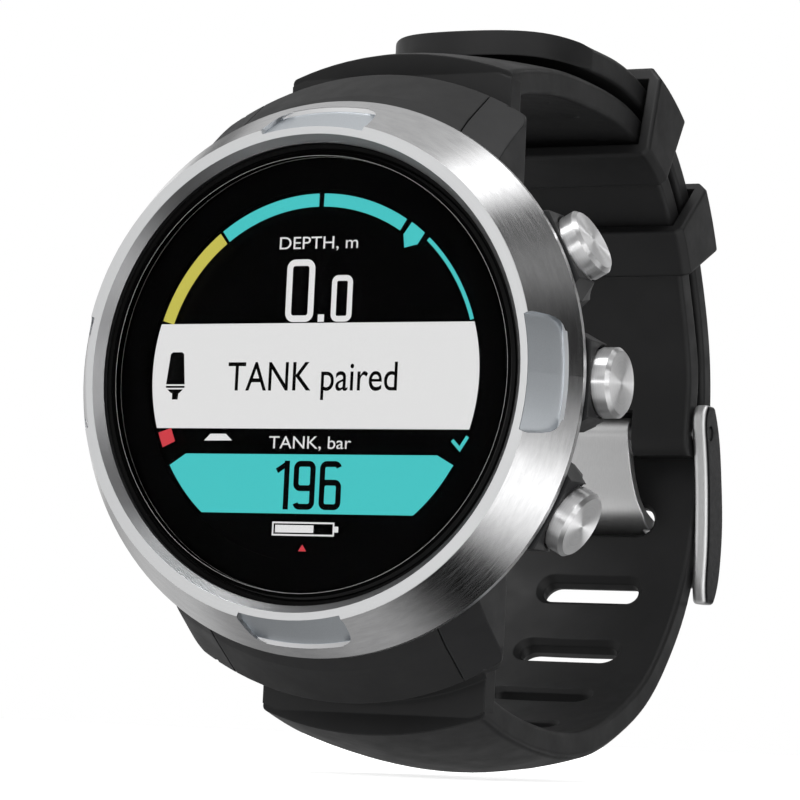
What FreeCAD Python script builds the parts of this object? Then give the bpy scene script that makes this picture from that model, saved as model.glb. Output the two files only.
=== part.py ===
import FreeCAD, Part
import math
import os

os.makedirs("parts", exist_ok=True)

# Wrist dive computer, mm.  Dial faces -Y, 12 o'clock is +Z, buttons are on +X.
# Origin: centre of the back cover's outer face.  Sketches are drawn as
# (radius, depth) or (depth, height), with depth measured back from the bezel's front.

# ---- driving dimensions ----
THICK = 16.5            # bezel front to back cover
BEZEL_R = 26.5
FRONT_RING_OUT = 23.6
FRONT_RING_IN = 22.5
BEZEL_EDGE_DEPTH = 5.2
LENS_R = 21.3
LENS_FRONT = 1.3
LENS_BACK = 2.9
PANEL_R = 17.9
CAVITY_R = 20.35
CASE_R = 25.0
COVER_R = 20.6
LUG_HALF_WIDTH = 16.4
LUG_SLOT_HALF = 12.3
LUG_EDGE_R = 30.5
LUG_EDGE_DEPTH = 13.0
STRAP_CREASE_R = 33.6
STRAP_CREASE_DEPTH = 18.3
STRAP_HALF_WIDTH = 12.0
STRAP_REAR_HALF = 11.0
BAR_DEPTH = 16.9        # spring bar axis
BAR_HEIGHT = 25.3
BUTTON_DEPTH = 10.0
BUTTON_ANGLES = {"upper": 28.2, "middle": 0.0, "lower": -28.2}
CAP_R = 3.3
CAP_FACE = 28.3
BUTTON_TRAVEL = 0.6
SCREW_PITCH_R = 16.4
SCREW_ANGLES = [50.0, 130.0, 230.0, 310.0]
SLOT_PITCH = 9.4
LOOP_CENTRE = (46.0, 8.5)      # centre of the curve the keepers slide round
TAIL_R = 29.55
SHORT_R = 25.7
BUCKLE_BAR = (72.9, 1.2)       # depth, height of the buckle's hinge pin
EDGE_ROUND = 0.5               # rounding along the strap's sides

X_AXIS = FreeCAD.Vector(1, 0, 0)
Y_AXIS = FreeCAD.Vector(0, 1, 0)
ORIGIN = FreeCAD.Vector(0, 0, 0)


def pt(x, depth, z):
    return FreeCAD.Vector(x, depth - THICK, z)


def turned(profile):
    """Solid turned about the case axis from (radius, depth) points."""
    wire = Part.makePolygon([pt(r, d, 0) for r, d in profile + profile[:1]])
    return Part.Face(wire).revolve(ORIGIN, Y_AXIS, 360)


def disc(radius, d0, d1, x=0.0, z=0.0):
    return Part.makeCylinder(radius, d1 - d0, pt(x, d0, z), Y_AXIS)


def block(x0, x1, d0, d1, z0, z1):
    return Part.makeBox(x1 - x0, d1 - d0, z1 - z0, pt(x0, d0, z0))


def side_plate(outline, x0, x1):
    """Plate extruded along X from (depth, height) points."""
    wire = Part.makePolygon([pt(x0, d, z) for d, z in outline + outline[:1]])
    return Part.Face(wire).extrude(FreeCAD.Vector(x1 - x0, 0, 0))


def x_rod(radius, x0, x1, depth, z):
    return Part.makeCylinder(radius, x1 - x0, pt(x0, depth, z), X_AXIS)


def radial(shape, angle):
    """Turn a shape built along +X round the case axis to a clock angle."""
    turned_copy = shape.copy()
    turned_copy.rotate(ORIGIN, Y_AXIS, -angle)
    return turned_copy


def rod(radius, r0, r1):
    """Rod on the button axis, before it is turned to its angle."""
    return Part.makeCylinder(radius, r1 - r0, pt(r0, BUTTON_DEPTH, 0), X_AXIS)


def tube(outer, inner, r0, r1):
    return rod(outer, r0, r1).cut(rod(inner, r0 - 0.1, r1 + 0.1))


def coil(start, axis, length, radius, wire_radius, turns):
    """Helical spring along an axis."""
    pitch = length / turns
    helix = Part.makeHelix(pitch, length, radius)
    spot = FreeCAD.Vector(radius, 0, 0)
    circle = Part.Wire(Part.makeCircle(wire_radius, spot, FreeCAD.Vector(0, 1, 0)))
    solid = Part.Wire(helix.Edges).makePipeShell([circle], True, True)
    turn = FreeCAD.Rotation(FreeCAD.Vector(0, 0, 1), axis)
    solid.Placement = FreeCAD.Placement(start, turn)
    return solid


def save(name, shape):
    shape.exportStep("parts/" + name + ".step")


# ---- strap centre lines ----

def arc_points(radius, first, last, count):
    points = []
    for i in range(count):
        a = math.radians(first + (last - first) * i / (count - 1))
        d = LOOP_CENTRE[0] + radius * math.cos(a)
        z = LOOP_CENTRE[1] + radius * math.sin(a)
        points.append((d, z))
    return points


LONG_POINTS = [
    (18.3, -31.35), (26.1, -33.4), (36.0, -34.7), (45.5, -34.6), (53.0, -32.9),
    (60.2, -30.1), (65.9, -26.4), (70.2, -21.8), (72.9, -18.2), (75.6, -12.0),
    (77.2, -5.0), (77.9, 1.0), (77.8, 6.5), (76.3, 13.4),
] + arc_points(TAIL_R, 24, 90, 12) + [(40.0, 38.1), (34.0, 38.05), (29.5, 37.9)]

SHORT_POINTS = [
    (18.3, 31.35), (26.3, 33.2), (35.2, 34.15), (41.0, 34.3),
] + arc_points(SHORT_R, 89, 24, 12) + [(72.3, 12.6), (73.9, 6.0), (74.4, 1.2), (74.4, -1.5)]


class Path:
    """Smooth curve of the strap's outer side edge, in the depth-height plane."""

    def __init__(self, points, outward):
        curve = Part.BSplineCurve()
        curve.interpolate([pt(0, d, z) for d, z in points])
        self.edge = curve.toShape()
        self.length = self.edge.Length
        self.outward = outward

    def frame(self, s):
        """Point, tangent and outward normal at arc length s."""
        s = max(0.0, min(self.length, s))
        u = self.edge.getParameterByLength(s)
        p = self.edge.valueAt(u)
        t = self.edge.tangentAt(u)
        n = FreeCAD.Vector(0, t.z, -t.y) * self.outward
        return p, t, n

    def near(self, depth, z):
        """Arc length of the curve's closest point."""
        best = (1e9, 0)
        for i in range(1201):
            s = self.length * i / 1200
            p = self.frame(s)[0]
            gap = p.distanceToPoint(pt(0, depth, z))
            if gap < best[0]:
                best = (gap, s)
        return best[1]


def blend(table, s):
    """Straight-line value from a list of (arc length, value)."""
    if s <= table[0][0]:
        return table[0][1]
    for (s0, v0), (s1, v1) in zip(table, table[1:]):
        if s <= s1:
            return v0 + (v1 - v0) * (s - s0) / (s1 - s0)
    return table[-1][1]


def band_section(path, s, half, crown, thick, inner_crown):
    """Crowned strap section with rounded side edges, as a closed wire."""
    p, t, n = path.frame(s)
    r = EDGE_ROUND
    cut = r * 0.3

    def at(x, h):
        return p + X_AXIS * x + n * h

    high = crown * (1 - ((half - r) / half) ** 2)
    low = inner_crown * (1 - ((half - r) / half) ** 2) - thick
    a = at(-half + r, high)
    b = at(half - r, high)
    c = at(half, -r)
    d = at(half, r - thick)
    e = at(half - r, low)
    f = at(-half + r, low)
    g = at(-half, r - thick)
    h = at(-half, -r)
    edges = [
        Part.Arc(a, at(0, crown), b).toShape(),
        Part.Arc(b, at(half - cut, -cut + high * 0.5), c).toShape(),
        Part.makeLine(c, d),
        Part.Arc(d, at(half - cut, cut - thick + (low + thick) * 0.5), e).toShape(),
        Part.Arc(e, at(0, inner_crown - thick), f).toShape(),
        Part.Arc(f, at(-half + cut, cut - thick + (low + thick) * 0.5), g).toShape(),
        Part.makeLine(g, h),
        Part.Arc(h, at(-half + cut, -cut + high * 0.5), a).toShape(),
    ]
    return Part.Wire(edges)


def band(path, stations, half, crown, thick, inner_crown):
    wires = []
    for s in stations:
        wires.append(band_section(path, s, blend(half, s), blend(crown, s),
                                  blend(thick, s), blend(inner_crown, s)))
    return Part.makeLoft(wires, True, False)


def obround(half_length, half_height, level):
    """Closed outline with round ends, lying flat at a level."""
    flat = half_length - half_height

    def at(x, y):
        return FreeCAD.Vector(x, y, level)

    return Part.Wire([
        Part.makeLine(at(-flat, half_height), at(flat, half_height)),
        Part.Arc(at(flat, half_height), at(half_length, 0), at(flat, -half_height)).toShape(),
        Part.makeLine(at(flat, -half_height), at(-flat, -half_height)),
        Part.Arc(at(-flat, -half_height), at(-half_length, 0), at(-flat, half_height)).toShape(),
    ])


def slot_cutter(path, s, half_length, half_height, flare=0.0, floor=0.0):
    """Round-ended slot across the strap; it opens out by a flare on both faces."""
    p, t, n = path.frame(s)
    tilt = math.degrees(math.atan2(-n.y, n.z))
    turn = FreeCAD.Rotation(X_AXIS, tilt)
    levels = [(-4.0, flare + 1.2), (floor - 2.7, flare), (floor - 1.9, 0.0), (-0.8, 0.0),
              (0.6, flare), (3.0, flare + 1.2)]
    if flare == 0.0:
        levels = [(-7.0, 0.0), (4.0, 0.0)]
    wires = [obround(half_length + f, half_height + f, level) for level, f in levels]
    cutter = Part.makeLoft(wires, True, True)
    cutter.Placement = FreeCAD.Placement(p, turn)
    return cutter


LONG = Path(LONG_POINTS, 1.0)
SHORT = Path(SHORT_POINTS, -1.0)


def strap_end(sign):
    """Moulded end that fills the lug gap, with the flat shelf behind it."""
    ring = turned([
        (25.75, 6.75), (26.2, 6.45), (27.6, 8.3), (30.5, 13.0), (30.1, 13.9), (29.4, 17.5),
        (30.1, 18.3), (33.0, 18.3), (33.0, 20.6), (26.0, 20.6), (23.7, 18.4),
        (23.7, 15.9), (25.15, 13.6), (25.15, 7.6), (25.6, 7.2),
    ])
    keep = block(-12.15, 12.15, 5, 18.3, 0, 40)
    keep = keep.fuse(block(-12.0, 12.0, 18.3, 22, 0, 40))
    end = ring.common(keep)
    if sign < 0:
        end = end.mirror(ORIGIN, FreeCAD.Vector(0, 0, 1))
    return end


def bar_cuts(sign):
    """Spring bar hole, release lever window and its thumb recess."""
    z = BAR_HEIGHT * sign
    hole = x_rod(0.96, -13, 13, BAR_DEPTH, z)
    window = block(7.2, 10.6, BAR_DEPTH, 22, z - 0.75, z + 0.75)
    thumb = block(6.4, 11.2, 19.0, 22, z - 1.9, z + 1.9)
    return hole.fuse([window, thumb])


# ---- case ----

def case_body():
    body = turned([
        (21.85, 1.55), (23.4, 1.55), (23.4, 6.25), (25.6, 6.25), (25.3, 6.8), (24.6, 7.6),
        (24.2, 10.4), (22.9, 13.2), (21.4, 16.0), (20.65, 16.0), (20.65, 14.9), (19.1, 14.9),
        (19.1, 13.3), (CAVITY_R, 13.3), (CAVITY_R, 3.45), (21.85, 3.45),
    ])
    lug_ring = turned([
        (22.5, 6.25), (26.1, 6.25), (27.6, 8.3), (LUG_EDGE_R, LUG_EDGE_DEPTH), (30.2, 13.8),
        (29.5, 19.0), (28.4, 19.8), (25.6, 19.8), (24.2, 18.0), (22.5, 15.8),
    ])
    for sign in (1, -1):
        z0 = 15.0 if sign > 0 else -40.0
        lugs = lug_ring.common(block(-LUG_HALF_WIDTH, LUG_HALF_WIDTH, 5, 22, z0, z0 + 25))
        for side in (1, -1):
            # rear flank slopes in, front edge has a narrow bevel
            flank = side_wedge([(side * 16.45, 12.4), (side * 18, 12.4), (side * 18, 22),
                                (side * 12.5, 22), (side * 12.5, 19.9)], -40, 40)
            lugs = lugs.cut(flank)
            corner = Part.makeCylinder(2.2, 30, pt(side * 14.2, 0, sign * 24.6), Y_AXIS)
            square = block(min(side * 14.2, side * 17), max(side * 14.2, side * 17), 0, 30,
                           min(sign * 24.6, sign * 33), max(sign * 24.6, sign * 33))
            lugs = lugs.cut(square.cut(corner))
        gap = disc(40, 5, 23).cut(disc(CASE_R + 0.02, 4, 24))
        gap = gap.common(block(-LUG_SLOT_HALF, LUG_SLOT_HALF, 5, 23, min(0, sign * 40),
                               max(0, sign * 40)))
        rear_gap = block(-LUG_SLOT_HALF, LUG_SLOT_HALF, 13.0, 23,
                         min(sign * 14, sign * 40), max(sign * 14, sign * 40))
        lugs = lugs.cut(gap).cut(rear_gap)
        body = body.fuse(lugs)
    for angle in BUTTON_ANGLES.values():
        levels = [guard_outline(6.4, 26.6, 3.6, 4.75), guard_outline(10.0, 26.6, 3.6, 4.75),
                  guard_outline(13.4, 24.75, 3.2, 3.9), guard_outline(14.6, 22.8, 3.2, 3.9)]
        for first, second in zip(levels, levels[1:]):
            body = body.fuse(radial(Part.makeLoft([first, second], True, True), angle))
    for angle in BUTTON_ANGLES.values():
        pocket = rod(3.55, 24.4, 30)
        bore = rod(2.12, 19, 26)
        inner = rod(2.5, 19, 21.6)
        body = body.cut(radial(pocket.fuse([bore, inner]), angle))
    for angle in SCREW_ANGLES:
        a = math.radians(angle)
        x = SCREW_PITCH_R * math.cos(a)
        z = SCREW_PITCH_R * math.sin(a)
        boss = disc(2.2, 9.0, 13.7, x, z)
        rib = Part.makeBox(4.3, 4.2, 2.2, pt(SCREW_PITCH_R, 9.0, -1.1))
        boss = boss.fuse(radial(rib, angle))
        body = body.fuse(boss).cut(disc(0.8, 10.0, 14, x, z))
    for sign in (1, -1):
        body = body.cut(x_rod(0.56, -13.7, 13.7, BAR_DEPTH, sign * BAR_HEIGHT))
    return body.removeSplitter()


def guard_outline(depth, reach, half, base):
    """Outline of the raised guard beside a button, at one depth."""
    step = min(24.7, reach - 0.3)
    points = [(21.4, base), (step, base - 0.15), (reach, half), (reach, -half),
              (step, 0.15 - base), (21.4, -base), (21.4, base)]
    return Part.makePolygon([pt(x, depth, z) for x, z in points])


def side_wedge(outline, z0, z1):
    """Prism along Z from (x, depth) points."""
    wire = Part.makePolygon([pt(x, d, z0) for x, d in outline + outline[:1]])
    return Part.Face(wire).extrude(FreeCAD.Vector(0, 0, z1 - z0))


def pad_recess(angle):
    """Shallow flat pad sunk into the bezel's slope, with rounded outer corners."""
    # local frame: built at 3 o'clock, sunk 0.45 below the slope
    slope = math.atan2(BEZEL_R - FRONT_RING_OUT, BEZEL_EDGE_DEPTH)
    sunk = 0.45
    ring = turned([(20.0, -3.0), (27.5 - sunk, -3.0), (27.5, -3.0),
                   (27.5, 3.55), (25.58 - sunk * math.cos(slope), 3.55 + sunk * math.sin(slope)),
                   (23.6 - sunk, 0.0 + 0.25), (23.3, -0.6), (20.0, -0.6)])
    half = [(22.4, 5.2), (23.2, 5.55), (24.1, 5.42), (24.55, 5.25), (24.86, 4.98),
            (25.06, 4.62), (25.24, 4.1), (28, 3.4)]
    points = half + [(x, -z) for x, z in reversed(half)] + half[:1]
    fan = Part.makePolygon([pt(x, -3, z) for x, z in points])
    fan = Part.Face(fan).extrude(FreeCAD.Vector(0, 9, 0))
    return radial(ring.common(fan), angle)


def bezel():
    ring = turned([
        (FRONT_RING_IN, 0.0), (FRONT_RING_OUT, 0.0), (BEZEL_R, BEZEL_EDGE_DEPTH),
        (BEZEL_R, 5.85), (26.25, 6.15), (23.45, 6.15), (23.45, 1.45), (21.8, 1.45),
        (21.8, 1.0),
    ])
    for angle in (0, 90, 180, 270):
        ring = ring.cut(pad_recess(angle))
    return ring


def back_cover():
    cover = turned([
        (0, 15.0), (13.9, 15.0), (13.9, 13.8), (19.0, 13.8), (19.0, 14.02), (18.2, 14.02),
        (18.2, 14.85), (19.0, 14.85), (19.0, 15.0), (COVER_R, 15.0), (COVER_R, 16.2),
        (20.3, THICK), (0, THICK),
    ])
    for angle in SCREW_ANGLES:
        a = math.radians(angle)
        x = SCREW_PITCH_R * math.cos(a)
        z = SCREW_PITCH_R * math.sin(a)
        cover = cover.cut(disc(0.85, 13, 17, x, z)).cut(disc(1.6, 15.5, 17, x, z))
    for x, z in ((0, 8.0), (1.6, 8.0), (-1.6, 8.0), (0, 9.6), (0, 6.4)):
        cover = cover.cut(disc(0.45, 14, 17, x, z))
    for x in (-4.5, -1.5, 1.5, 4.5):
        cover = cover.cut(disc(1.2, 14, 17, x, -9.0))
    return cover


def screws():
    solids = []
    for angle in SCREW_ANGLES:
        a = math.radians(angle)
        x = SCREW_PITCH_R * math.cos(a)
        z = SCREW_PITCH_R * math.sin(a)
        head = disc(1.5, 15.52, 16.4, x, z).cut(disc(0.6, 15.9, 16.5, x, z))
        solids.append(head.fuse(disc(0.75, 10.6, 15.52, x, z)).removeSplitter())
    return Part.makeCompound(solids)


def main_board():
    board = disc(19.8, 6.0, 7.0)
    for angle in (90, 210, 330):
        notch = block(18.6, 21, 5, 8, -1.5, 1.5)
        board = board.cut(radial(notch, angle))
    for x0, x1, z0, z1, h in ((-4, 4, -4, 4, 1.0), (-11, -6, -3, 3, 0.8), (6.5, 10.5, -7, -3, 0.7),
                              (-9, -5, 7, 11, 0.7), (4, 9, 8, 12, 0.6)):
        board = board.fuse(block(x0, x1, 7.0, 7.0 + min(h, 0.9), z0, z1))
    return board


def display_carrier():
    tray = turned([(0, 4.28), (18.0, 4.28), (18.0, 3.5), (20.3, 3.5), (20.3, 5.2), (0, 5.2)])
    return tray.cut(block(-5, 5, 3.4, 6, -20.5, -18.4))


def annular_strip(r0, r1, d0, d1, a0, a1):
    strip = turned([(r0, d0), (r1, d0), (r1, d1), (r0, d1)])
    points = [pt(0, d0 - 1, 0)]
    for i in range(9):
        a = math.radians(a0 + (a1 - a0) * i / 8)
        points.append(pt(40 * math.cos(a), d0 - 1, 40 * math.sin(a)))
    points.append(points[0])
    fan = Part.Face(Part.makePolygon(points)).extrude(FreeCAD.Vector(0, d1 - d0 + 2, 0))
    return strip.common(fan)


# ---- buttons ----

def button_cap():
    face_bevel = 0.35
    cap = rod(CAP_R, 26.6, CAP_FACE - face_bevel)
    cone = Part.makeCone(CAP_R, CAP_R - face_bevel, face_bevel,
                         pt(CAP_FACE - face_bevel, BUTTON_DEPTH, 0), X_AXIS)
    rear = rod(3.12, 25.35, 26.35)
    neck = rod(2.8, 26.35, 26.6)
    cap = cap.fuse([cone, rear, neck])
    cap = cap.cut(rod(2.35, 25.0, 26.2))
    stem = rod(1.2, 19.5, 26.3).cut(tube(1.5, 0.85, 20.88, 21.32))
    return cap.fuse(stem).removeSplitter()


def button_sleeve():
    sleeve = rod(2.1, 21.35, 24.42).fuse(rod(2.9, 24.42, 24.66))
    sleeve = sleeve.cut(rod(1.24, 21, 25.5)).cut(rod(1.82, 22.4, 23.6))
    return sleeve.removeSplitter()


def button_seals():
    rings = []
    for r in (22.7, 23.3):
        ring = Part.makeTorus(1.51, 0.28, pt(r, BUTTON_DEPTH, 0), X_AXIS)
        rings.append(ring)
    return Part.makeCompound(rings)


def button_spring():
    """Return spring as three closed turns between the sleeve and the cap."""
    turns = []
    for r in (24.82, 25.42, 26.02):
        turns.append(Part.makeTorus(1.85, 0.14, pt(r, BUTTON_DEPTH, 0), X_AXIS))
    return Part.makeCompound(turns)


def button_clip():
    clip = tube(2.0, 0.88, 20.92, 21.28)
    return clip.cut(block(20, 22, BUTTON_DEPTH - 0.45, BUTTON_DEPTH + 4, -0.45, 0.45))


def button_switch():
    body = block(17.4, 18.5, BUTTON_DEPTH - 1.8, BUTTON_DEPTH + 1.8, -2.3, 2.3)
    return body.fuse(rod(0.9, 18.5, 18.78)).removeSplitter()


# ---- straps ----

def strap_lower():
    stations = [0, 4, 9, 15, 22, 30, 38, 46, 54, 60, 66, 72, 78, 84, 90, 96, 102, 110, 118,
                126, 134, 142, 150]
    last = LONG.length
    stations = [s for s in stations if s < last - 5] + [last]
    half = [(0, 12.0), (15, 11.6), (36, 11.0), (last, 10.9)]
    crown = [(0, 2.2), (9, 2.0), (20, 2.0), (32, 1.5), (46, 0.8), (66, 0.4), (96, 0.2), (last, 0.2)]
    thick = [(0, 2.7), (60, 2.8), (80, 2.6), (92, 2.5), (last, 2.5)]
    inner = [(0, 2.0), (9, 1.5), (22, 1.0), (46, 0.4), (80, 0.2), (last, 0.15)]
    strap = band(LONG, stations, half, crown, thick, inner)
    s0 = LONG.near(76.3, -8.9)
    for k in range(-5, 6):
        # the slot that holds the tongue is stretched open a little
        size = (6.0, 1.6, 0.55) if k == 0 else (5.65, 1.25, 0.75)
        strap = strap.cut(slot_cutter(LONG, s0 - k * SLOT_PITCH, *size))
    # rounded free end
    ellipse = Part.Ellipse(ORIGIN, 12.0, 11.0).toShape()
    plan = Part.Face(Part.Wire(ellipse)).extrude(FreeCAD.Vector(0, 0, 14))
    plan.Placement = FreeCAD.Placement(pt(0, 42.0, 30), FreeCAD.Rotation(90, 0, 0))
    nose = block(-13, 13, 28, 42.0, 34.5, 42).cut(plan)
    strap = strap.cut(nose)
    strap = strap.fuse(strap_end(-1)).cut(bar_cuts(-1))
    return strap


def strap_upper():
    last = SHORT.length
    stations = [0, 4, 9, 15, 22, 29, 35, 41, 47, 53, 59, 65, 71, 77]
    stations = [s for s in stations if s < last - 4] + [last]
    half = [(0, 12.0), (12, 11.6), (27, 11.0), (last, 11.0)]
    crown = [(0, 2.2), (9, 1.6), (22, 1.0), (30, 0.8), (55, 0.6), (last, 0.3)]
    thick = [(0, 2.7), (20, 2.8), (58, 2.8), (last, 3.0)]
    inner = [(0, 2.0), (9, 1.4), (22, 0.8), (55, 0.3), (last, 0.1)]
    strap = band(SHORT, stations, half, crown, thick, inner)
    for s in (12, 19.6, 27.2):
        p, t, n = SHORT.frame(s)
        groove = slot_cutter(SHORT, s, 7.5, 1.1)
        groove.translate(n * -(4.0 + 2.8 - 0.55))
        strap = strap.cut(groove)
    strap = strap.fuse(strap_end(1)).cut(bar_cuts(1))
    d, z = BUCKLE_BAR
    strap = strap.cut(x_rod(0.82, -13, 13, d, z))
    strap = strap.cut(block(-4.4, 4.4, 68, 80, -3, 3.6))
    return strap


def spring_bar(sign):
    z = BAR_HEIGHT * sign
    bar = x_rod(0.9, -11.9, 11.9, BAR_DEPTH, z).fuse(x_rod(0.5, -13.4, -11.9, BAR_DEPTH, z))
    bar = bar.cut(x_rod(0.54, 4.6, 12.5, BAR_DEPTH, z))
    return bar.cut(block(7.4, 10.4, BAR_DEPTH, BAR_DEPTH + 2, z - 0.45, z + 0.45))


def bar_tip(sign):
    z = BAR_HEIGHT * sign
    pin = x_rod(0.5, 8.9, 13.4, BAR_DEPTH, z)
    return pin.cut(disc(0.28, BAR_DEPTH - 0.2, BAR_DEPTH + 1, 9.7, z))


def release_lever(sign):
    z = BAR_HEIGHT * sign
    post = disc(0.26, BAR_DEPTH - 0.15, BAR_DEPTH + 1.2, 9.7, z)
    knob = disc(0.38, BAR_DEPTH + 1.0, 19.9, 9.7, z)
    return post.fuse(knob).removeSplitter()


def bar_spring(sign):
    z = BAR_HEIGHT * sign
    return coil(pt(4.75, BAR_DEPTH, z), X_AXIS, 4.0, 0.36, 0.09, 7)


# ---- keepers and buckle ----

def keeper(first, last):
    """Square loop round both straps, swept round the loop's curve."""
    centre = pt(0, LOOP_CENTRE[0], LOOP_CENTRE[1])
    a = math.radians(first)
    out = FreeCAD.Vector(0, math.cos(a), math.sin(a))

    def ring_face(points):
        wire = [centre + X_AXIS * x + out * r for x, r in points + points[:1]]
        return Part.Face(Part.makePolygon(wire))

    outer = ring_face([(-12.7, 21.9), (-12.0, 21.2), (12.0, 21.2), (12.7, 21.9), (12.7, 30.3),
                       (11.5, 31.7), (-11.5, 31.7), (-12.7, 30.3)])
    hollow = ring_face([(-11.35, 22.5), (11.35, 22.5), (11.35, 30.25), (-11.35, 30.25)])
    outer = outer.revolve(centre, X_AXIS, last - first)
    outer = outer.makeFillet(0.4, outer.Edges)
    return outer.cut(hollow.revolve(centre, X_AXIS, last - first))


def smooth_plate(first, second, x0, x1):
    """Plate across X whose two long edges are smooth curves of (depth, height) points."""
    curves = []
    for points in (first, second):
        curve = Part.BSplineCurve()
        curve.interpolate([pt(x0, d, z) for d, z in points])
        curves.append(curve.toShape())
    top = Part.makeLine(pt(x0, *first[-1]), pt(x0, *second[0]))
    foot = Part.makeLine(pt(x0, *second[-1]), pt(x0, *first[0]))
    face = Part.Face(Part.Wire([curves[0], top, curves[1], foot]))
    return face.extrude(FreeCAD.Vector(x1 - x0, 0, 0))


def buckle_frame():
    front = [(73.6, -17.5), (73.2, -15.9), (73.3, -12.4), (73.2, -8.3), (72.7, -3.9),
             (71.7, 0.4), (71.3, 2.5), (72.2, 4.3)]
    rear = [(74.2, 4.3), (76.1, 0.8), (77.2, -3.6), (77.9, -8.0), (77.8, -12.4),
            (77.0, -15.8), (75.9, -17.5)]
    frame = None
    for x0, x1 in ((11.2, 12.9), (-12.9, -11.2)):
        cheek = smooth_plate(front, rear, x0, x1)
        cheek = cheek.makeFillet(0.5, cheek.Edges)
        frame = cheek if frame is None else frame.fuse(cheek)
    rail = side_plate([(76.1, -15.7), (77.3, -15.4), (77.5, -13.6), (76.9, -13.1),
                       (76.2, -13.4)], -11.9, 11.9)
    frame = frame.fuse(rail)
    d, z = BUCKLE_BAR
    frame = frame.cut(x_rod(0.8, -13, 13, d, z))
    return frame.removeSplitter()


def buckle_tongue():
    inside = [(71.2, 1.2), (71.2, -3.0), (71.2, -6.0), (71.5, -7.5), (72.4, -8.7),
              (74.0, -9.6), (76.2, -10.6), (77.5, -11.9), (77.8, -13.6), (77.8, -15.6)]
    outside = [(79.0, -15.6), (79.0, -13.3), (78.5, -11.0), (76.9, -9.2), (74.6, -8.2),
               (73.2, -7.5), (72.6, -6.6), (72.4, -5.6), (72.4, -3.0), (72.4, 1.2)]
    tongue = smooth_plate(inside, outside, -5.75, 5.75)
    for side in (1, -1):
        shoulder = [(3.75, 3.0), (3.8, 0.2), (4.05, -1.8), (4.45, -3.8), (5.05, -6.0),
                    (5.75, -7.9), (6.5, -7.9), (6.5, 3.0)]
        shoulder = Part.makePolygon([pt(side * x, 70, z) for x, z in shoulder + shoulder[:1]])
        tongue = tongue.cut(Part.Face(shoulder).extrude(FreeCAD.Vector(0, 4.5, 0)))
        # the tip narrows where it lies on the rail
        tip = Part.makePolygon([pt(side * x, 70, z) for x, z in
                                ((5.0, -9.4), (4.2, -12.5), (3.9, -17.0), (6.5, -17.0),
                                 (6.5, -9.4), (5.0, -9.4))])
        tongue = tongue.cut(Part.Face(tip).extrude(FreeCAD.Vector(0, 10, 0)))
    d, z = BUCKLE_BAR
    eye = x_rod(1.7, -3.75, 3.75, d, z)
    tongue = tongue.fuse(eye).cut(x_rod(0.81, -7, 7, d, z))
    return tongue.removeSplitter()


# ---- build ----
save("case_body", case_body())
save("bezel", bezel())
save("lens", turned([(0, LENS_FRONT), (LENS_R - 0.3, LENS_FRONT), (LENS_R, LENS_FRONT + 0.3),
                     (LENS_R, LENS_BACK), (0, LENS_BACK)]))
save("lens_gasket", turned([(21.33, 1.75), (21.82, 1.75), (21.82, 3.42), (20.7, 3.42),
                            (20.7, 2.93), (21.33, 2.93)]))
save("display_mask", turned([(17.6, 2.94), (20.6, 2.94), (20.6, 3.06), (17.6, 3.06)]))
save("display_panel", disc(PANEL_R, 3.1, 4.25))
save("display_carrier", display_carrier())
save("main_board", main_board())
save("radio_antenna", annular_strip(18.4, 20.1, 5.4, 5.8, 60, 170))
save("battery", block(-8.0, 8.0, 8.1, 12.4, -13.0, 13.0))
save("vibration_motor", disc(4.0, 8.1, 10.9, -14.0, 0))
save("buzzer_disc", disc(5.0, 14.5, 14.95, 0, -1.0))
save("pressure_sensor", disc(3.0, 12.8, 14.3, 0, 8.0).fuse(disc(2.2, 14.3, 14.95, 0, 8.0)))
save("sensor_seal", disc(3.0, 14.35, 14.95, 0, 8.0).cut(disc(2.25, 14, 15.5, 0, 8.0)))
save("back_cover", back_cover())
save("back_cover_gasket", Part.makeTorus(18.63, 0.39, pt(0, 14.44, 0), Y_AXIS))
save("back_cover_screws", screws())
contacts = [disc(0.7, 13.9, 16.35, x, -9.0) for x in (-4.5, -1.5, 1.5, 4.5)]
save("charging_contacts", Part.makeCompound(contacts))
sleeves = [disc(1.17, 15.02, 16.3, x, -9.0).cut(disc(0.72, 14, 17, x, -9.0))
           for x in (-4.5, -1.5, 1.5, 4.5)]
save("contact_insulators", Part.makeCompound(sleeves))
save("switch_flex", annular_strip(17.0, 17.3, 7.95, 12.0, -36, 36))

for name, angle in BUTTON_ANGLES.items():
    save(name + "_button", radial(button_cap(), angle))
    save(name + "_button_sleeve", radial(button_sleeve(), angle))
    save(name + "_button_seals", radial(button_seals(), angle))
    save(name + "_button_spring", radial(button_spring(), angle))
    save(name + "_button_clip", radial(button_clip(), angle))
    save(name + "_button_switch", radial(button_switch(), angle))

save("strap_upper", strap_upper())
save("strap_lower", strap_lower())
for name, sign in (("upper", 1), ("lower", -1)):
    save("spring_bar_" + name, spring_bar(sign))
    save("bar_tip_" + name, bar_tip(sign))
    save("release_lever_" + name, release_lever(sign))
    save("bar_spring_" + name, bar_spring(sign))
save("keeper_front", keeper(57.0, 73.0))
save("keeper_rear", keeper(25.3, 39.8))
save("buckle_frame", buckle_frame())
save("buckle_tongue", buckle_tongue())
save("buckle_bar", x_rod(0.76, -12.8, 12.8, BUCKLE_BAR[0], BUCKLE_BAR[1]))
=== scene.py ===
import math

import bmesh
import bpy
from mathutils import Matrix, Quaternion, Vector


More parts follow.
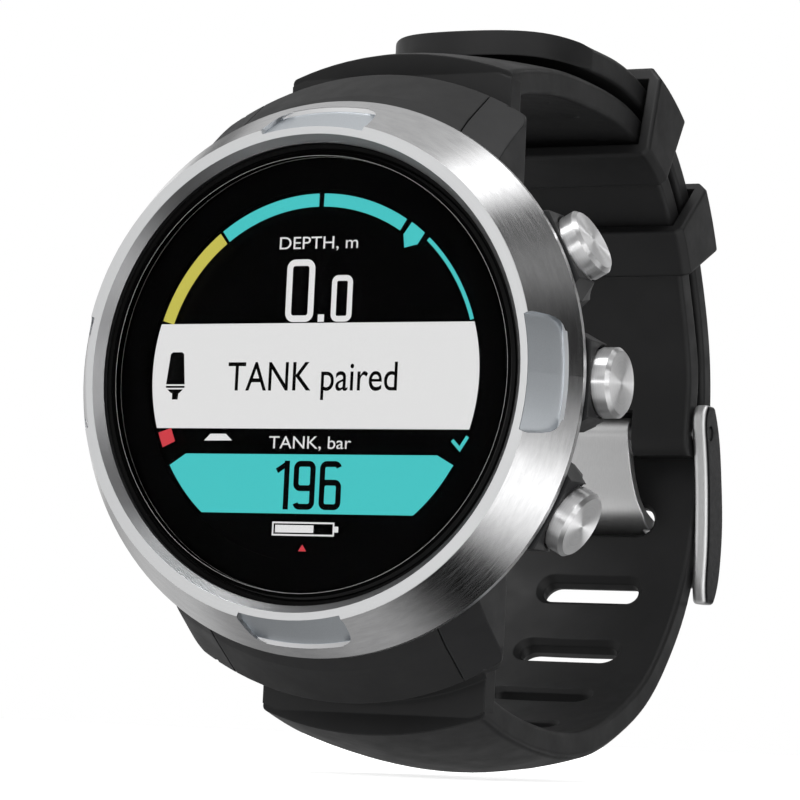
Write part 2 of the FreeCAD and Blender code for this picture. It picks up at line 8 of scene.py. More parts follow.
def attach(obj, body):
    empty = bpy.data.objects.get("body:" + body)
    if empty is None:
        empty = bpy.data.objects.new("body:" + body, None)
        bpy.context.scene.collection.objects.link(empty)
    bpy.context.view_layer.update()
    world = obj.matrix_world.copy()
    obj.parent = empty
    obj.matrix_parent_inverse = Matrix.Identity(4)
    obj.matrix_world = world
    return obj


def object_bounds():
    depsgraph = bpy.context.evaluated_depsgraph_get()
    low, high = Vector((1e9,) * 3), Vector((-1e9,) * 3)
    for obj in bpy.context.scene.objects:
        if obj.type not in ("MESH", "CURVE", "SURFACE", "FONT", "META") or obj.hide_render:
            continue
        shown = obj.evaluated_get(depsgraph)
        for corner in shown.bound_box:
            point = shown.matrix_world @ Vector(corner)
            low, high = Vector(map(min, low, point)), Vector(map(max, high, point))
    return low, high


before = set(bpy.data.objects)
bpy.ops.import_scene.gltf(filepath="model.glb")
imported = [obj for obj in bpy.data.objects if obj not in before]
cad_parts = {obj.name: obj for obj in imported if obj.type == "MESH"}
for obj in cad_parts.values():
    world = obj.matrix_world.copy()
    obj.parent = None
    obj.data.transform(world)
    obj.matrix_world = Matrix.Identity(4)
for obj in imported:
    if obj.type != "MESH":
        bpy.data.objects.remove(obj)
cad_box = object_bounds()

MM = 0.001
FRONT_Y = -0.0165       # bezel front; depths below are measured back from it
GRAPHICS_DEPTH = 3.08   # display picture, mm behind the bezel front
WORDS_LIFT = 0.005      # white marks stand this far in front of the colour fields, mm
INK_LIFT = 0.01         # black marks stand a little further
CASE_AXIS = ((0, FRONT_Y, 0), (0, 1, 0))

# bezel, metres: edges of its zones and the slope from ring to rim
RING_OUTER_R = 0.0236
RING_INNER_R = 0.02246
SLOPE_RUN = 2.9
SLOPE_DROP = 5.2
GLASS_CLEAR_R = 0.0206
CHEEK_FACE_X = 0.01262


# ---------------------------------------------------------------- materials

def new_material(name):
    mat = bpy.data.materials.new(name)
    mat.use_nodes = True
    tree = mat.node_tree
    shader = tree.nodes["Principled BSDF"]
    return mat, tree, shader


def object_coords(tree):
    return tree.nodes.new("ShaderNodeTexCoord").outputs["Object"]


def scaled(tree, vector, scale):
    node = tree.nodes.new("ShaderNodeMapping")
    node.inputs["Scale"].default_value = scale
    tree.links.new(vector, node.inputs["Vector"])
    return node.outputs["Vector"]


def noise(tree, vector, scale, detail=3.0, rough=0.6):
    node = tree.nodes.new("ShaderNodeTexNoise")
    node.inputs["Scale"].default_value = scale
    node.inputs["Detail"].default_value = detail
    node.inputs["Roughness"].default_value = rough
    tree.links.new(vector, node.inputs["Vector"])
    return node.outputs["Fac"]


def ramp(tree, value, low, high, a=0.3, b=0.7):
    """Remap a texture value to a range of numbers."""
    node = tree.nodes.new("ShaderNodeMapRange")
    node.inputs["From Min"].default_value = a
    node.inputs["From Max"].default_value = b
    node.inputs["To Min"].default_value = low
    node.inputs["To Max"].default_value = high
    tree.links.new(value, node.inputs["Value"])
    return node.outputs["Result"]


def colour_ramp(tree, value, stops):
    node = tree.nodes.new("ShaderNodeValToRGB")
    points = node.color_ramp.elements
    while len(points) < len(stops):
        points.new(0.5)
    for point, (place, colour) in zip(points, stops):
        point.position = place
        point.color = (*colour, 1.0)
    tree.links.new(value, node.inputs["Fac"])
    return node.outputs["Color"]


def bump(tree, height, strength, distance, normal=None):
    node = tree.nodes.new("ShaderNodeBump")
    node.inputs["Strength"].default_value = strength
    node.inputs["Distance"].default_value = distance
    tree.links.new(height, node.inputs["Height"])
    if normal is not None:
        tree.links.new(normal, node.inputs["Normal"])
    return node.outputs["Normal"]


def soft_edges(tree, radius_mm):
    """Surface normal with sharp edges rounded over by a small radius."""
    node = tree.nodes.new("ShaderNodeBevel")
    node.samples = 6
    node.inputs["Radius"].default_value = radius_mm * MM
    return node.outputs["Normal"]


def mixed(tree, factor, a, b, kind="FLOAT"):
    """Mix two values, colours or links by a mask."""
    node = tree.nodes.new("ShaderNodeMix")
    node.data_type = kind
    tree.links.new(factor, node.inputs["Factor"])
    ins = [s for s in node.inputs if s.name in ("A", "B") and s.enabled]
    for socket, value in zip(ins, (a, b)):
        if isinstance(value, (int, float)):
            socket.default_value = value
        elif isinstance(value, tuple):
            socket.default_value = (*value, 1.0)
        else:
            tree.links.new(value, socket)
    return [s for s in node.outputs if s.enabled][0]


def math_node(tree, kind, a, b=None):
    node = tree.nodes.new("ShaderNodeMath")
    node.operation = kind
    for socket, value in zip(node.inputs, (a, b)):
        if value is None:
            continue
        if isinstance(value, (int, float)):
            socket.default_value = value
        else:
            tree.links.new(value, socket)
    return node.outputs[0]


def split(tree, vector):
    node = tree.nodes.new("ShaderNodeSeparateXYZ")
    tree.links.new(vector, node.inputs[0])
    return node.outputs[0], node.outputs[1], node.outputs[2]


def joined(tree, x, y, z):
    node = tree.nodes.new("ShaderNodeCombineXYZ")
    for socket, value in zip(node.inputs, (x, y, z)):
        if isinstance(value, (int, float)):
            socket.default_value = value
        else:
            tree.links.new(value, socket)
    return node.outputs[0]


def moulded(name, dark, light, rough_low, rough_high, grain=5200.0, bump_mm=0.012, cloud=140.0,
            spec=0.5):
    """Moulded polymer: fine surface grain, cloudy gloss, faint handling marks."""
    mat, tree, shader = new_material(name)
    co = object_coords(tree)
    cloudy = noise(tree, co, cloud, 4.0)
    fine = noise(tree, co, grain, 2.0)
    colour = colour_ramp(tree, cloudy, [(0.3, dark), (0.7, light)])
    tree.links.new(colour, shader.inputs["Base Color"])
    rub = noise(tree, co, cloud * 3.1, 5.0)
    tree.links.new(ramp(tree, rub, rough_low, rough_high), shader.inputs["Roughness"])
    shader.inputs["Specular IOR Level"].default_value = spec
    tree.links.new(bump(tree, fine, 0.35, bump_mm * MM, soft_edges(tree, 0.22)),
                   shader.inputs["Normal"])
    return mat


def metal(name, colour, rough_low, rough_high, stretch=(1.0, 1.0, 1.0)):
    """Steel with fine lines, drawn out along an axis by stretch."""
    mat, tree, shader = new_material(name)
    co = object_coords(tree)
    lines = noise(tree, scaled(tree, co, stretch), 2500.0, 3.0)
    shade = tuple(c * 0.86 for c in colour)
    tree.links.new(colour_ramp(tree, lines, [(0.3, shade), (0.7, colour)]),
                   shader.inputs["Base Color"])
    shader.inputs["Metallic"].default_value = 1.0
    tree.links.new(ramp(tree, lines, rough_low, rough_high), shader.inputs["Roughness"])
    tree.links.new(bump(tree, lines, 0.4, 0.004 * MM), shader.inputs["Normal"])
    return mat


def lit(name, colour):
    """A lit display colour, with a faint fine unevenness."""
    mat, tree, shader = new_material(name)
    co = object_coords(tree)
    grid = noise(tree, co, 9000.0, 1.0)
    shade = tuple(c * 0.94 for c in colour)
    glow = colour_ramp(tree, grid, [(0.35, shade), (0.65, colour)])
    tree.links.new(glow, shader.inputs["Emission Color"])
    shader.inputs["Emission Strength"].default_value = 1.0
    shader.inputs["Base Color"].default_value = (0.001, 0.001, 0.001, 1)
    shader.inputs["Roughness"].default_value = 0.6
    shader.inputs["Specular IOR Level"].default_value = 0.0
    return mat


def axis_frame(tree, co, centre, direction):
    """Distance from an axis, the round-the-axis direction, and distance along the axis."""
    sub = tree.nodes.new("ShaderNodeVectorMath")
    sub.operation = "SUBTRACT"
    sub.inputs[1].default_value = centre
    tree.links.new(co, sub.inputs[0])
    cross = tree.nodes.new("ShaderNodeVectorMath")
    cross.operation = "CROSS_PRODUCT"
    cross.inputs[0].default_value = direction
    tree.links.new(sub.outputs[0], cross.inputs[1])
    length = tree.nodes.new("ShaderNodeVectorMath")
    length.operation = "LENGTH"
    tree.links.new(cross.outputs[0], length.inputs[0])
    unit = tree.nodes.new("ShaderNodeVectorMath")
    unit.operation = "NORMALIZE"
    tree.links.new(cross.outputs[0], unit.inputs[0])
    dot = tree.nodes.new("ShaderNodeVectorMath")
    dot.operation = "DOT_PRODUCT"
    dot.inputs[1].default_value = direction
    tree.links.new(sub.outputs[0], dot.inputs[0])
    return length.outputs["Value"], unit.outputs[0], dot.outputs["Value"]


def turned_metal(name, centre, direction, colour, rough_low, rough_high, aniso, lines=9000.0):
    """Metal with fine tool lines running round an axis."""
    mat, tree, shader = new_material(name)
    co = object_coords(tree)
    radius, tangent, along = axis_frame(tree, co, centre, direction)
    rings = noise(tree, joined(tree, math_node(tree, "ADD", radius, along), 0.0, 0.0),
                  lines, 2.0, 0.7)
    arcs = noise(tree, joined(tree, math_node(tree, "MULTIPLY", radius, 12.0), 0.0,
                              math_node(tree, "MULTIPLY", along, 6.0)), lines * 0.12, 3.0)
    shade = tuple(c * 0.85 for c in colour)
    tree.links.new(colour_ramp(tree, arcs, [(0.3, shade), (0.7, colour)]),
                   shader.inputs["Base Color"])
    shader.inputs["Metallic"].default_value = 1.0
    tree.links.new(ramp(tree, rings, rough_low, rough_high), shader.inputs["Roughness"])
    shader.inputs["Anisotropic"].default_value = aniso
    shader.inputs["Anisotropic Rotation"].default_value = 0.25
    tree.links.new(tangent, shader.inputs["Tangent"])
    tree.links.new(bump(tree, rings, 0.25, 0.002 * MM), shader.inputs["Normal"])
    return mat


def bezel_material():
    """Satin front ring, brushed slope, blasted pads with polished walls, by position; the steel
    inside the ring is painted darker as painted shade.
    """
    mat, tree, shader = new_material("bezel_finish")
    co = object_coords(tree)
    x, _, z = split(tree, co)
    radius, tangent, depth = axis_frame(tree, co, *CASE_AXIS)
    # distance sunk below the brushed slope, in metres
    lean = math.atan2(SLOPE_RUN, SLOPE_DROP)
    out = math_node(tree, "SUBTRACT", radius, RING_OUTER_R)
    sunk = math_node(tree, "SUBTRACT",
                     math_node(tree, "MULTIPLY", depth, math.sin(lean)),
                     math_node(tree, "MULTIPLY", out, math.cos(lean)))
    on_pad = ramp(tree, sunk, 0.0, 1.0, 0.00040, 0.00043)
    on_wall = ramp(tree, sunk, 0.0, 1.0, 0.00003, 0.00005)
    on_ring = ramp(tree, depth, 1.0, 0.0, 0.00002, 0.00005)
    inside = ramp(tree, radius, 1.0, 0.0, RING_INNER_R, RING_INNER_R + 0.00003)
    # brush lines run round the slope
    angle = math_node(tree, "ARCTAN2", z, x)
    brush = noise(tree, joined(tree, radius,
                               math_node(tree, "MULTIPLY", angle, 0.0009),
                               math_node(tree, "MULTIPLY", depth, 0.7)), 9500.0, 4.0, 0.75)
    streak = noise(tree, joined(tree, radius,
                                math_node(tree, "MULTIPLY", angle, 0.004), 0.0), 2600.0, 4.0)
    grit = noise(tree, co, 14000.0, 2.0)
    steel = colour_ramp(tree, streak, [(0.3, (0.57, 0.57, 0.575)), (0.7, (0.66, 0.66, 0.665))])
    blast = colour_ramp(tree, grit, [(0.3, (0.50, 0.53, 0.56)), (0.7, (0.60, 0.63, 0.66))])

    colour = mixed(tree, on_wall, steel, (0.60, 0.60, 0.605), "RGBA")
    colour = mixed(tree, on_pad, colour, blast, "RGBA")
    colour = mixed(tree, on_ring, colour, (0.65, 0.655, 0.66), "RGBA")
    # the steel inside the ring, down to the glass, is painted darker: painted shade of the
    # recess round the glass
    colour = mixed(tree, inside, colour, (0.30, 0.30, 0.305), "RGBA")
    tree.links.new(colour, shader.inputs["Base Color"])
    shader.inputs["Metallic"].default_value = 1.0
    brushed = ramp(tree, brush, 0.12, 0.22)
    rough = mixed(tree, on_wall, brushed, 0.42)
    rough = mixed(tree, on_pad, rough, 0.42)
    rough = mixed(tree, on_ring, rough, 0.50)
    rough = mixed(tree, inside, rough, 0.35)
    tree.links.new(rough, shader.inputs["Roughness"])
    brushing = mixed(tree, on_pad, 0.82, 0.0)
    tree.links.new(mixed(tree, on_ring, brushing, 0.0), shader.inputs["Anisotropic"])
    tree.links.new(tangent, shader.inputs["Tangent"])
    grooves = bump(tree, brush, 0.22, 0.0014 * MM)
    rough_grit = bump(tree, math_node(tree, "MULTIPLY", grit, on_pad), 0.5, 0.01 * MM, grooves)
    tree.links.new(rough_grit, shader.inputs["Normal"])
    return mat


def glass_material():
    """Clear glass with a faint smear and a black printed rim."""
    mat, tree, shader = new_material("mineral_glass")
    co = object_coords(tree)
    smear = noise(tree, co, 160.0, 3.0)
    tree.links.new(ramp(tree, smear, 0.0, 0.02), shader.inputs["Roughness"])
    # the rim is printed black all the way round its edge
    radius = axis_frame(tree, co, *CASE_AXIS)[0]
    clear = ramp(tree, radius, 1.0, 0.0, GLASS_CLEAR_R, GLASS_CLEAR_R + 0.00005)
    tree.links.new(colour_ramp(tree, clear, [(0.0, (0.001, 0.001, 0.001)), (1.0, (1, 1, 1))]),
                   shader.inputs["Base Color"])
    tree.links.new(clear, shader.inputs["Transmission Weight"])
    shader.inputs["IOR"].default_value = 1.46
    return mat


def buckle_material():
    """Satin steel inside; the two outer cheek faces are coloured near-black, with a blasted
    grain.
    """
    mat, tree, shader = new_material("buckle_steel")
    co = object_coords(tree)
    x = split(tree, co)[0]
    outer = ramp(tree, math_node(tree, "ABSOLUTE", x), 0.0, 1.0, CHEEK_FACE_X,
                 CHEEK_FACE_X + 0.00018)
    grain = noise(tree, scaled(tree, co, (6.0, 1.0, 1.0)), 1500.0, 3.0)
    grit = noise(tree, co, 3800.0, 3.0)
    satin = colour_ramp(tree, grain, [(0.3, (0.78, 0.78, 0.78)), (0.7, (0.84, 0.84, 0.84))])
    dark = colour_ramp(tree, grit, [(0.3, (0.012, 0.012, 0.013)), (0.7, (0.026, 0.026, 0.028))])
    tree.links.new(mixed(tree, outer, satin, dark, "RGBA"), shader.inputs["Base Color"])
    shader.inputs["Metallic"].default_value = 1.0
    tree.links.new(ramp(tree, grain, 0.42, 0.50), shader.inputs["Roughness"])
    height = math_node(tree, "MULTIPLY", grit, outer)
    tree.links.new(bump(tree, height, 0.5, 0.02 * MM, soft_edges(tree, 0.3)),
                   shader.inputs["Normal"])
    return mat


def repaint(node, mat):
    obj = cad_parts[node]
    for slot in obj.material_slots:
        slot.material = mat


case_mat = moulded("case_polymer", (0.0065, 0.0065, 0.007), (0.009, 0.009, 0.0095), 0.40, 0.52,
                   grain=6500.0, bump_mm=0.010, spec=0.30)
strap_mat = moulded("silicone", (0.0060, 0.0060, 0.0062), (0.0085, 0.0085, 0.0088), 0.46, 0.60,
                    grain=5200.0, bump_mm=0.008, cloud=90.0, spec=0.27)
seal_mat = moulded("seal_rubber", (0.0015, 0.0015, 0.0015), (0.003, 0.003, 0.003), 0.6, 0.8,
                   spec=0.08)
part_steel = metal("turned_steel", (0.62, 0.62, 0.625), 0.18, 0.34)
buckle_mat = buckle_material()
cover_mat = metal("cover_steel", (0.45, 0.45, 0.46), 0.24, 0.38, stretch=(0.05, 1.0, 3.0))

repaint("case_body", case_mat)
repaint("bezel", bezel_material())
repaint("lens", glass_material())
for name in ("lens_gasket", "back_cover_gasket", "sensor_seal"):
    repaint(name, seal_mat)
for name in ("strap_upper", "strap_lower", "keeper_front", "keeper_rear"):
    repaint(name, strap_mat)
repaint("back_cover", cover_mat)
for name in ("buckle_frame", "buckle_tongue", "buckle_bar"):
    repaint(name, buckle_mat)
for name in ("back_cover_screws", "release_lever_upper", "release_lever_lower"):
    repaint(name, part_steel)
mask_mat, mask_tree, mask_shader = new_material("printed_border")
mask_fleck = noise(mask_tree, object_coords(mask_tree), 3000.0)
mask_tree.links.new(ramp(mask_tree, mask_fleck, 0.25, 0.4), mask_shader.inputs["Roughness"])
mask_shader.inputs["Base Color"].default_value = (0.001, 0.001, 0.0012, 1)
mask_shader.inputs["Specular IOR Level"].default_value = 0.02
repaint("display_mask", mask_mat)
repaint("display_panel", mask_mat)

BUTTONS = {"upper": 28.2, "middle": 0.0, "lower": -28.2}
BUTTON_Y = FRONT_Y + 10.0 * MM
for name, clock in BUTTONS.items():
    way = Vector((math.cos(math.radians(clock)), 0, math.sin(math.radians(clock))))
    finish = turned_metal(name + "_button_finish", (0, BUTTON_Y, 0), way, (0.70, 0.70, 0.705),
                          0.31, 0.37, 0.98)
    repaint(name + "_button", finish)


# ---------------------------------------------------------------- display picture

WHITE = lit("lit_white", (0.82, 0.82, 0.82))
CYAN = lit("lit_cyan", (0.075, 0.60, 0.60))
YELLOW = lit("lit_yellow", (0.60, 0.55, 0.10))
RED = lit("lit_red", (0.66, 0.06, 0.075))
INK = lit("lit_black", (0.002, 0.002, 0.002))


def flat_piece(name, polygons, mat, lift=0.0):
    """Thin flat picture piece; polygons are lists of (x, z) in mm about the case axis."""
    mesh = bpy.data.meshes.new(name)
    y = FRONT_Y + (GRAPHICS_DEPTH - lift) * MM
    verts = []
    faces = []
    for poly in polygons:
        start = len(verts)
        verts += [(px * MM, y, pz * MM) for px, pz in poly]
        faces.append(list(range(start, start + len(poly))))
    mesh.from_pydata(verts, [], faces)
    mesh.update()
    bm = bmesh.new()
    bm.from_mesh(mesh)
    for face in bm.faces:
        if face.normal.y > 0:
            face.normal_flip()
    bm.to_mesh(mesh)
    bm.free()
    obj = bpy.data.objects.new(name, mesh)
    bpy.context.scene.collection.objects.link(obj)
    mesh.materials.append(mat)
    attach(obj, "watch")


def arc(radius, a0, a1):
    """Points on a circle about the case axis, about one degree apart."""
    count = max(2, int(abs(a1 - a0)) + 1)
    out = []
    for i in range(count + 1):
        a = math.radians(a0 + (a1 - a0) * i / count)
        out.append((radius * math.cos(a), radius * math.sin(a)))
    return out


def arc_band(r_in, r_out, a0, a1):
    return arc(r_out, a0, a1) + arc(r_in, a1, a0)


def chord_band(z_low, z_high, radius):
    """Band across the round display between two heights."""
    a_low = math.degrees(math.asin(z_low / radius))
    a_high = math.degrees(math.asin(z_high / radius))
    return arc(radius, a_low, a_high) + arc(radius, 180 - a_high, 180 - a_low)


def stroke(points, width, closed=False):
    """Quads that thicken a line of (x, z) points."""
    clean = []
    for p in points:
        if not clean or (Vector(p) - Vector(clean[-1])).length > 0.02:
            clean.append(p)
    if closed and (Vector(clean[0]) - Vector(clean[-1])).length < 0.02:
        clean.pop()
    points = clean
    n = len(points)
    sides = []
    for i in range(n):
        p = Vector(points[i])
        a = Vector(points[i - 1]) if (closed or i > 0) else None
        b = Vector(points[(i + 1) % n]) if (closed or i < n - 1) else None
        d1 = (p - a).normalized() if a is not None else None
        d2 = (b - p).normalized() if b is not None else None
        d1 = d1 if d1 is not None else d2
        d2 = d2 if d2 is not None else d1
        n1 = Vector((-d1.y, d1.x))
        n2 = Vector((-d2.y, d2.x))
        m = (n1 + n2).normalized()
        reach = width / 2 / max(0.5, m.dot(n1))
        sides.append((p + m * reach, p - m * reach))
    quads = []
    for i in range(n if closed else n - 1):
        a, b = sides[i], sides[(i + 1) % n]
        quads.append([tuple(a[0]), tuple(b[0]), tuple(b[1]), tuple(a[1])])
    return quads


def corner(cx, cz, r, a0, a1):
    """Seven points round a small arc."""
    angles = [math.radians(a0 + (a1 - a0) * i / 6) for i in range(7)]
    return [(cx + r * math.cos(a), cz + r * math.sin(a)) for a in angles]


def digit(char, x, z, w, h, t):
    """Narrow round-cornered numeral; x, z is its lower left corner."""
    r = w * 0.19
    l, rt, b, tp = x + t / 2, x + w - t / 2, z + t / 2, z + h - t / 2
    loop_r = min(r, (rt - l) / 2)

    def box(l0, r0, b0, t0):
        return (corner(r0 - loop_r, t0 - loop_r, loop_r, 0, 90)
                + corner(l0 + loop_r, t0 - loop_r, loop_r, 90, 180)
                + corner(l0 + loop_r, b0 + loop_r, loop_r, 180, 270)
                + corner(r0 - loop_r, b0 + loop_r, loop_r, 270, 360))
    if char == "0":
        return stroke(box(l, rt, b, tp), t, True)
    if char == "1":
        stem = x + w - t / 2
        return (stroke([(stem, z), (stem, z + h)], t)
                + stroke([(stem + t * 0.1, z + h - t * 0.45), (x, z + h - w * 0.72)], t * 0.9))
    if char == "9":
        mid = z + h * 0.44
        tail = (corner(rt - loop_r, b + loop_r, loop_r, 0, -90)
                + corner(l + loop_r, b + loop_r, loop_r, -90, -165))
        return (stroke(box(l, rt, mid, tp), t, True)
                + stroke([(rt, tp - loop_r)] + tail, t))
    if char == "6":
        mid = z + h * 0.56
        head = (corner(l + loop_r, tp - loop_r, loop_r, 180, 90)
                + corner(rt - loop_r, tp - loop_r, loop_r, 90, 15))
        return (stroke(box(l, rt, b, mid), t, True)
                + stroke([(l, b + loop_r)] + head, t))
    return [[(x, z), (x + w, z), (x + w, z + h), (x, z + h)]]   # point


def label(name, body, x0, x1, z_base, cap, mat, lift, weight=0.0):
    """Generic caption fitted between x0 and x1, with capitals of a given height."""
    curve = bpy.data.curves.new(name, "FONT")
    curve.body = body
    curve.size = 1.0
    curve.offset = weight
    obj = bpy.data.objects.new(name, curve)
    bpy.context.scene.collection.objects.link(obj)
    bpy.context.view_layer.update()
    depsgraph = bpy.context.evaluated_depsgraph_get()
    mesh = bpy.data.meshes.new_from_object(obj.evaluated_get(depsgraph))
    bpy.data.objects.remove(obj)
    xs = [v.co.x for v in mesh.vertices]
    low_x, high_x = min(xs), max(xs)
    scale_x = (x1 - x0) / (high_x - low_x)
    scale_z = cap / 0.729
    y = FRONT_Y + (GRAPHICS_DEPTH - lift) * MM
    for v in mesh.vertices:
        px = x0 + (v.co.x - low_x) * scale_x
        pz = z_base + v.co.y * scale_z
        v.co = (px * MM, y, pz * MM)
    mesh.materials.clear()
    mesh.materials.append(mat)
    piece = bpy.data.objects.new(name, mesh)
    bpy.context.scene.collection.objects.link(piece)
    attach(piece, "watch")


flat_piece("gauge_yellow", [arc_band(15.95, 17.2, 162.3, 127.95)], YELLOW)
flat_piece("gauge_cyan", [arc_band(15.95, 17.2, 126.85, 90.5), arc_band(15.95, 17.2, 88.7, 57.9),
                          arc_band(16.86, 17.25, 47.9, 17.4)], CYAN)
flat_piece("gauge_marker", [arc(17.25, 55.9, 50.2) + arc(15.9, 49.6, 49.9)
                            + [(8.99, 11.88)] + arc(15.9, 56.2, 56.0)], CYAN)
flat_piece("message_band", [chord_band(-5.1, 4.9, 17.25)], WHITE)
big = digit("0", -3.2, 5.0, 2.98, 5.95, 0.62)
small = digit(".", 0.28, 5.0, 0.66, 0.7, 0.6) + digit("0", 1.62, 5.0, 2.2, 4.4, 0.54)
flat_piece("depth_digits", big + small, WHITE, WORDS_LIFT)
label("depth_label", "DEPTH, m", -4.13, 4.16, 11.95, 1.23, WHITE, WORDS_LIFT)
label("tank_label", "TANK, bar", -4.24, 4.42, -6.97, 1.23, WHITE, WORDS_LIFT)
label("message_text", "TANK paired", -9.0, 8.9, -1.48, 2.85, INK, INK_LIFT, 0.004)
icon = [[(-15.72, -0.9), (-13.68, -0.9), (-13.9, 2.0), (-14.12, 2.19), (-15.12, 2.19),
         (-15.36, 2.0)],
        [(-15.72, -1.24), (-13.68, -1.24), (-13.68, -1.04), (-15.72, -1.04)],
        [(-15.55, -1.38), (-15.15, -1.74), (-14.22, -1.74), (-13.85, -1.38)],
        [(-15.0, -2.36), (-14.38, -2.36), (-14.3, -1.74), (-15.0, -1.74)]]
flat_piece("tank_icon", icon, INK, INK_LIFT)
flat_piece("warning_mark", [arc_band(15.75, 17.2, -161.2, -156.2)], RED)
flat_piece("trend_mark", [[(-11.26, -6.27), (-8.23, -6.25), (-8.92, -5.62), (-10.6, -5.62)]],
           WHITE, WORDS_LIFT)
flat_piece("gauge_tick", stroke([(14.8, -6.1), (15.6, -6.9), (16.35, -5.75)], 0.34), CYAN)
panel = ([(-14.95, -8.69), (-13.15, -7.52), (13.36, -7.51), (15.04, -8.42)]
         + arc(17.2, -30.4, -49.6) + arc(17.2, -130.4, -149.8))
flat_piece("tank_panel", [panel], CYAN)
flat_piece("tank_digits", digit("1", -3.25, -12.72, 1.35, 4.6, 0.56)
           + digit("9", -1.45, -12.72, 2.3, 4.6, 0.56)
           + digit("6", 1.3, -12.72, 2.3, 4.6, 0.56), INK, INK_LIFT)
battery = stroke([(-3.4, -15.1), (3.0, -15.1), (3.0, -13.95), (-3.4, -13.95)], 0.16, True)
battery += [[(3.08, -14.8), (3.5, -14.8), (3.5, -14.25), (3.08, -14.25)],
            [(-3.15, -14.88), (0.9, -14.88), (0.9, -14.17), (-3.15, -14.17)]]
flat_piece("battery_icon", battery, WHITE)
flat_piece("position_mark", [[(-0.62, -16.62), (0.24, -16.62), (-0.19, -15.98)]], RED)


# ---------------------------------------------------------------- stage

def area_light(name, place, target, width, height, power):
    lamp = bpy.data.lights.new(name, "AREA")
    lamp.shape = "RECTANGLE"
    lamp.size = width
    lamp.size_y = height
    lamp.energy = power
    obj = bpy.data.objects.new(name, lamp)
    bpy.context.scene.collection.objects.link(obj)
    obj.location = place
    aim = Vector(target) - Vector(place)
    obj.rotation_euler = aim.to_track_quat("-Z", "Y").to_euler()


floor_mesh = bpy.data.meshes.new("floor")
floor_z = cad_box[0][2] - 0.0005
floor_mesh.from_pydata([(-3, -3, floor_z), (3, -3, floor_z), (3, 3, floor_z), (-3, 3, floor_z)],
                       [], [[0, 1, 2, 3]])
floor = bpy.data.objects.new("floor", floor_mesh)
bpy.context.scene.collection.objects.link(floor)
floor_mat, floor_tree, floor_shader = new_material("pale_floor")
floor_shader.inputs["Base Color"].default_value = (0.9, 0.9, 0.9, 1)
floor_shader.inputs["Roughness"].default_value = 0.9
floor_shader.inputs["Emission Color"].default_value = (1, 1, 1, 1)
floor_shader.inputs["Emission Strength"].default_value = 0.75
floor_mesh.materials.append(floor_mat)
floor.visible_glossy = False

CAMERA_PLACE = Vector((0.1555, -0.3120, -0.0332))
CAMERA_TARGET = Vector((0.01051, -0.0165, -0.00264))
look = (CAMERA_TARGET - CAMERA_PLACE).normalized()

world = bpy.data.worlds.new("studio")
bpy.context.scene.world = world
world.use_nodes = True
sky = world.node_tree
background = sky.nodes["Background"]
background.inputs["Color"].default_value = (1.0, 1.0, 1.0, 1)
way = sky.nodes.new("ShaderNodeTexCoord").outputs["Generated"]
wx, wy, wz = split(sky, way)
turn = math_node(sky, "ARCTAN2", wz, wx)
around = ramp(sky, turn, 0.0, 1.0, -math.pi, math.pi)
# lights and cards round the watch: middle and half width in degrees, brightness
# 0 is the right of the watch, 90 is straight up
studio = [(-158, 8, 0.6),    # low left fill
          (-128, 10, 0.3),   # grey card low left
          (-98, 6, 0.45),    # fill below
          (-66, 8, 0.0),     # black card below
          (-30, 4, 1.9),     # low right soft box
          (-12, 3, 0.55),    # its soft edge
          (15, 10, 0.03),    # black card on the right
          (40, 3, 0.3),      # gap between cards
          (56, 3, 0.1),      # grey card
          (72, 2, 2.5),      # top right soft box
          (88, 3, 0.6),      # its soft edge
          (130, 12, 0.6),    # top left fill
          (149, 2, 0.15),    # grey strip
          (166, 8, 1.0)]     # left soft box
BEHIND_LEFT = 0.35           # where the angle wraps round
BRIGHTEST = 3.0
stops = [(0.0, BEHIND_LEFT)]
for middle, half_width, glow in studio:
    for edge in (middle - half_width, middle + half_width):
        stops.append((edge / 360.0 + 0.5, glow))
stops.append((1.0, BEHIND_LEFT))
sides = colour_ramp(sky, around, [(a, (g / BRIGHTEST,) * 3) for a, g in stops])
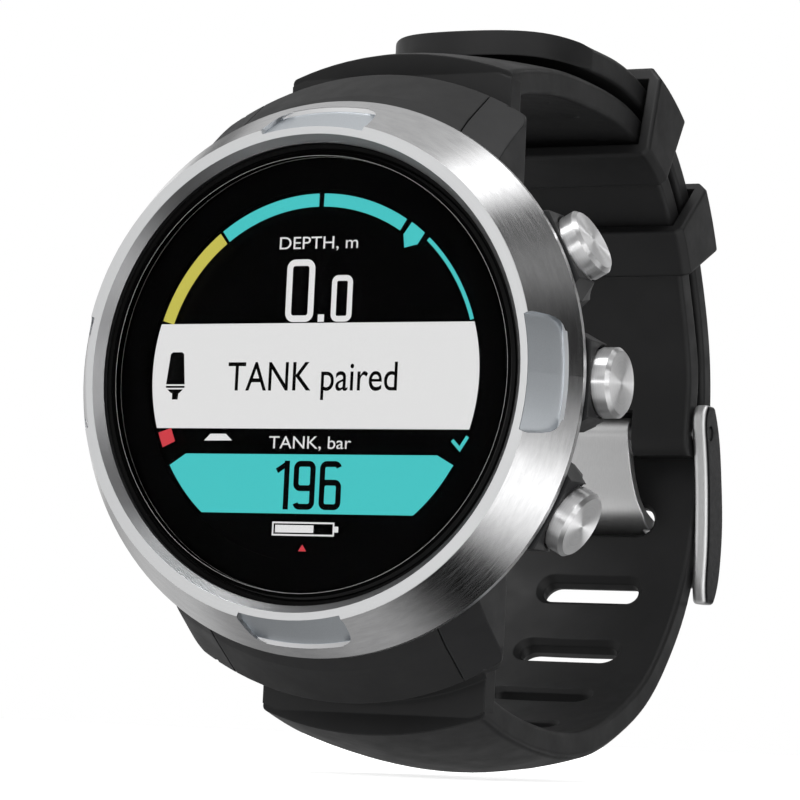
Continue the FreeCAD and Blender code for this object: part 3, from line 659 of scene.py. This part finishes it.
# in front: an even fill with a black flag where the flat glass looks
flag = sky.nodes.new("ShaderNodeVectorMath")
flag.operation = "DOT_PRODUCT"
flag.inputs[1].default_value = (look.x, -look.y, look.z)
sky.links.new(way, flag.inputs[0])
open_part = ramp(sky, flag.outputs["Value"], 0.33, 0.0, 0.972, 0.991)
in_front = ramp(sky, wy, 0.0, 1.0, -0.30, -0.62)
ahead = mixed(sky, in_front, sides, open_part)
# behind on the right: three strip lights between dark cards
behind = math_node(sky, "MULTIPLY", ramp(sky, wy, 0.0, 1.0, 0.42, 0.62),
                   ramp(sky, wx, 0.0, 1.0, -0.05, 0.12))
level = None
for turned in BUTTONS.values():
    lean = math.radians(turned)
    across = look.z * math.cos(lean) - look.x * math.sin(lean)
    drop = math_node(sky, "ADD", math_node(sky, "MULTIPLY", wx, -math.sin(lean)),
                     math_node(sky, "MULTIPLY", wz, math.cos(lean)))
    off = math_node(sky, "ABSOLUTE", math_node(sky, "SUBTRACT", drop, across))
    strip = ramp(sky, off, 0.52, 0.0, 0.03, 0.075)
    level = strip if level is None else math_node(sky, "MAXIMUM", level, strip)
lighting = math_node(sky, "MULTIPLY", mixed(sky, behind, ahead, level), BRIGHTEST)
# the backdrop itself is plain white
seen = sky.nodes.new("ShaderNodeLightPath").outputs["Is Camera Ray"]
sky.links.new(mixed(sky, seen, lighting, 1.0), background.inputs["Strength"])

area_light("key", (-0.10, -0.35, 0.75), (0, 0, 0), 0.30, 0.30, 4.0)
area_light("side", (0.75, -0.30, 0.12), (0, 0, 0), 0.10, 0.5, 1.2)
area_light("low", (0.12, -0.55, -0.015), (0, 0.02, -0.04), 0.4, 0.03, 0.45)
bpy.context.scene.view_settings.view_transform = "Standard"

camera_data = bpy.data.cameras.new("camera")
camera_data.lens = 161.8
camera_data.sensor_width = 36.0
camera_data.clip_start = 0.01
camera = bpy.data.objects.new("camera", camera_data)
bpy.context.scene.collection.objects.link(camera)
camera.location = CAMERA_PLACE
turn = look.to_track_quat("-Z", "Y")
camera.rotation_mode = "QUATERNION"
camera.rotation_quaternion = turn @ Quaternion((0, 0, 1), math.radians(2.65))
bpy.context.scene.camera = camera
